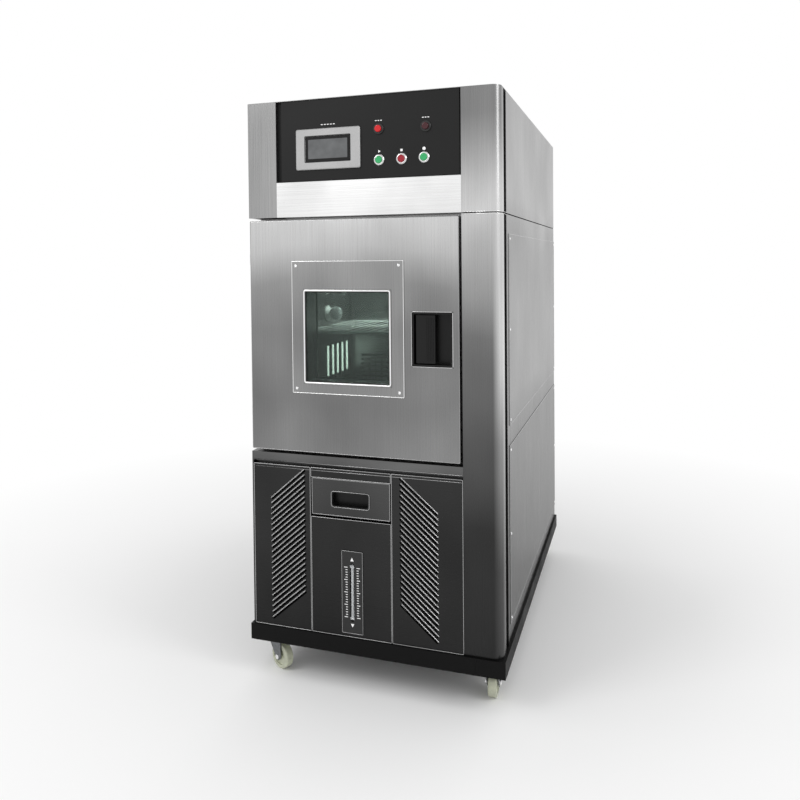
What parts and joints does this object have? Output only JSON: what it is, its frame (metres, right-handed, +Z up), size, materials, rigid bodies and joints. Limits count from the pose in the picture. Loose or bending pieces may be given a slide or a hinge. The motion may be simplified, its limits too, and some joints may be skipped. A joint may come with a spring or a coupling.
{
  "type": "environmental test chamber",
  "caption": "Free-standing temperature and humidity test chamber with a windowed door, control head, louvred machine compartment and swivel casters.",
  "frame": {"origin": "on the floor under the middle of the cabinet", "axes": "+X to the right seen from the front, +Y to the back, +Z up"},
  "size_m": [0.754, 1.215, 1.65],
  "materials": {
    "stainless_brushed": "brushed stainless sheet",
    "stainless_dark": "brushed stainless sheet, dark reflections",
    "black_paint": "satin black",
    "black_panel": "matt black",
    "black_plastic": "moulded black plastic",
    "silver_plastic": "silver grey plastic",
    "screen": "grey touch screen in a black frame",
    "chrome": "bright metal",
    "zinc": "zinc plated",
    "wheel": "pale translucent polyurethane",
    "glass": "dark tinted glass",
    "rubber": "silicone",
    "foam": "rigid foam",
    "green": "green lens",
    "red": "red lens",
    "tank": "translucent white plastic",
    "aluminium": "mill finish",
    "cast": "black paint"
  },
  "bodies": {
    "chamber": {"base_plinth": "black_paint", "caster_plates": "zinc", "left_side_panel": "stainless_brushed", "right_side_frame": "stainless_brushed", "right_access_panels": "stainless_brushed", "right_front_post": "stainless_brushed", "cavity_liner": "stainless_brushed", "insulation": "foam", "wire_shelf": "chrome", "air_duct_panel": "stainless_brushed", "coil_and_heater": "aluminium", "fan_motor": "cast", "sensor_probes": "chrome", "hinge_fixed_leaves": "chrome", "under_door_strip": "stainless_brushed", "louvre_panels": "stainless_dark", "centre_panel": "stainless_dark", "gauge_plate": "black_plastic", "sight_tube": "glass", "tank_cradle": "stainless_brushed", "head_shell": "stainless_brushed", "head_pillars": "stainless_brushed", "head_strip": "stainless_brushed", "control_panel": "black_panel", "controller_bezel": "silver_plastic", "controller_screen": "screen", "panel_rings": "chrome", "indicator_lenses": "red", "compressor": "cast", "humidifier": "stainless_brushed", "condenser_unit": "aluminium", "electrical_panel": "silver_plastic", "rear_covers": "stainless_brushed", "rear_outlets": "chrome"},
    "door": {"door_outer_skin": "stainless_brushed", "door_inner_skin": "stainless_brushed", "door_foam": "foam", "door_gasket": "rubber", "window_frame": "stainless_brushed", "window_glass": "glass", "handle_cup": "black_plastic", "hinge_door_leaves": "chrome"},
    "door_lever": {"handle_lever": "black_plastic"},
    "latch": {"latch_bolt": "zinc"},
    "drawer": {"drawer_front": "stainless_dark", "drawer_pull": "black_plastic", "water_tank": "tank"},
    "run_push": {"run_button": "green"},
    "stop_push": {"stop_button": "red"},
    "light_push": {"light_button": "green"},
    "air_fan": {"circulation_fan": "aluminium"},
    "cooling_fan": {"condenser_fan": "black_plastic"},
    "fork_front_left": {"caster_fork_front_left": "zinc"},
    "wheel_front_left": {"caster_wheel_front_left": "wheel"},
    "fork_front_right": {"caster_fork_front_right": "zinc"},
    "wheel_front_right": {"caster_wheel_front_right": "wheel"},
    "fork_rear_left": {"caster_fork_rear_left": "zinc"},
    "wheel_rear_left": {"caster_wheel_rear_left": "wheel"},
    "fork_rear_right": {"caster_fork_rear_right": "zinc"},
    "wheel_rear_right": {"caster_wheel_rear_right": "wheel"}
  },
  "joints": [
    {"name": "door_swing", "type": "hinge", "parent": "chamber", "child": "door", "pos_m": [-0.375, -0.555, 0.9855], "axis": [0, 0, -1], "range_deg": [0, 150]},
    {"name": "lever_pull", "type": "hinge", "parent": "door", "child": "door_lever", "pos_m": [0.138, -0.583, 0.9855], "axis": [0, 0, -1], "range_deg": [-1, 36]},
    {"name": "latch_draw", "type": "slide", "parent": "door", "child": "latch", "axis": [-1, 0, 0], "range_m": [0, 0.012], "stiffness_N_per_m": 300, "springref_m": -0.01},
    {"name": "drawer_slide", "type": "slide", "parent": "chamber", "child": "drawer", "axis": [0, -1, 0], "range_m": [0, 0.2]},
    {"name": "air_fan_spin", "type": "hinge", "parent": "chamber", "child": "air_fan", "pos_m": [-0.0545, 0, 1.0655], "axis": [0, 1, 0], "continuous": true},
    {"name": "cooling_fan_spin", "type": "hinge", "parent": "chamber", "child": "cooling_fan", "pos_m": [0, 0, 0.2983], "axis": [0, 1, 0], "continuous": true},
    {"name": "run_push", "type": "slide", "parent": "chamber", "child": "run_push", "axis": [0, 1, 0], "range_m": [0, 0.003], "stiffness_N_per_m": 400, "springref_m": -0.001},
    {"name": "stop_push", "type": "slide", "parent": "chamber", "child": "stop_push", "axis": [0, 1, 0], "range_m": [0, 0.003], "stiffness_N_per_m": 400, "springref_m": -0.001},
    {"name": "light_push", "type": "slide", "parent": "chamber", "child": "light_push", "axis": [0, 1, 0], "range_m": [0, 0.003], "stiffness_N_per_m": 400, "springref_m": -0.001},
    {"name": "swivel_front_left", "type": "hinge", "parent": "chamber", "child": "fork_front_left", "pos_m": [-0.324, -0.535, 0.08], "axis": [0, 0, 1], "continuous": true},
    {"name": "roll_front_left", "type": "hinge", "parent": "fork_front_left", "child": "wheel_front_left", "pos_m": [-0.29905, -0.54771, 0.0375], "axis": [0.454, 0.891, 0], "continuous": true},
    {"name": "swivel_front_right", "type": "hinge", "parent": "chamber", "child": "fork_front_right", "pos_m": [0.324, -0.535, 0.08], "axis": [0, 0, 1], "continuous": true},
    {"name": "roll_front_right", "type": "hinge", "parent": "fork_front_right", "child": "wheel_front_right", "pos_m": [0.32205, -0.50707, 0.0375], "axis": [-0.9976, -0.0698, 0], "continuous": true},
    {"name": "swivel_rear_left", "type": "hinge", "parent": "chamber", "child": "fork_rear_left", "pos_m": [-0.324, 0.535, 0.08], "axis": [0, 0, 1], "continuous": true},
    {"name": "roll_rear_left", "type": "hinge", "parent": "fork_rear_left", "child": "wheel_rear_left", "pos_m": [-0.30106, 0.51894, 0.0375], "axis": [0.5736, 0.8192, 0], "continuous": true},
    {"name": "swivel_rear_right", "type": "hinge", "parent": "chamber", "child": "fork_rear_right", "pos_m": [0.324, 0.535, 0.08], "axis": [0, 0, 1], "continuous": true},
    {"name": "roll_rear_right", "type": "hinge", "parent": "fork_rear_right", "child": "wheel_rear_right", "pos_m": [0.306, 0.55645, 0.0375], "axis": [-0.766, -0.6428, 0], "continuous": true}
  ],
  "couplings": [
    {"joint": "lever_pull", "follows": "latch_draw", "rad_per_m": 50.905}
  ]
}
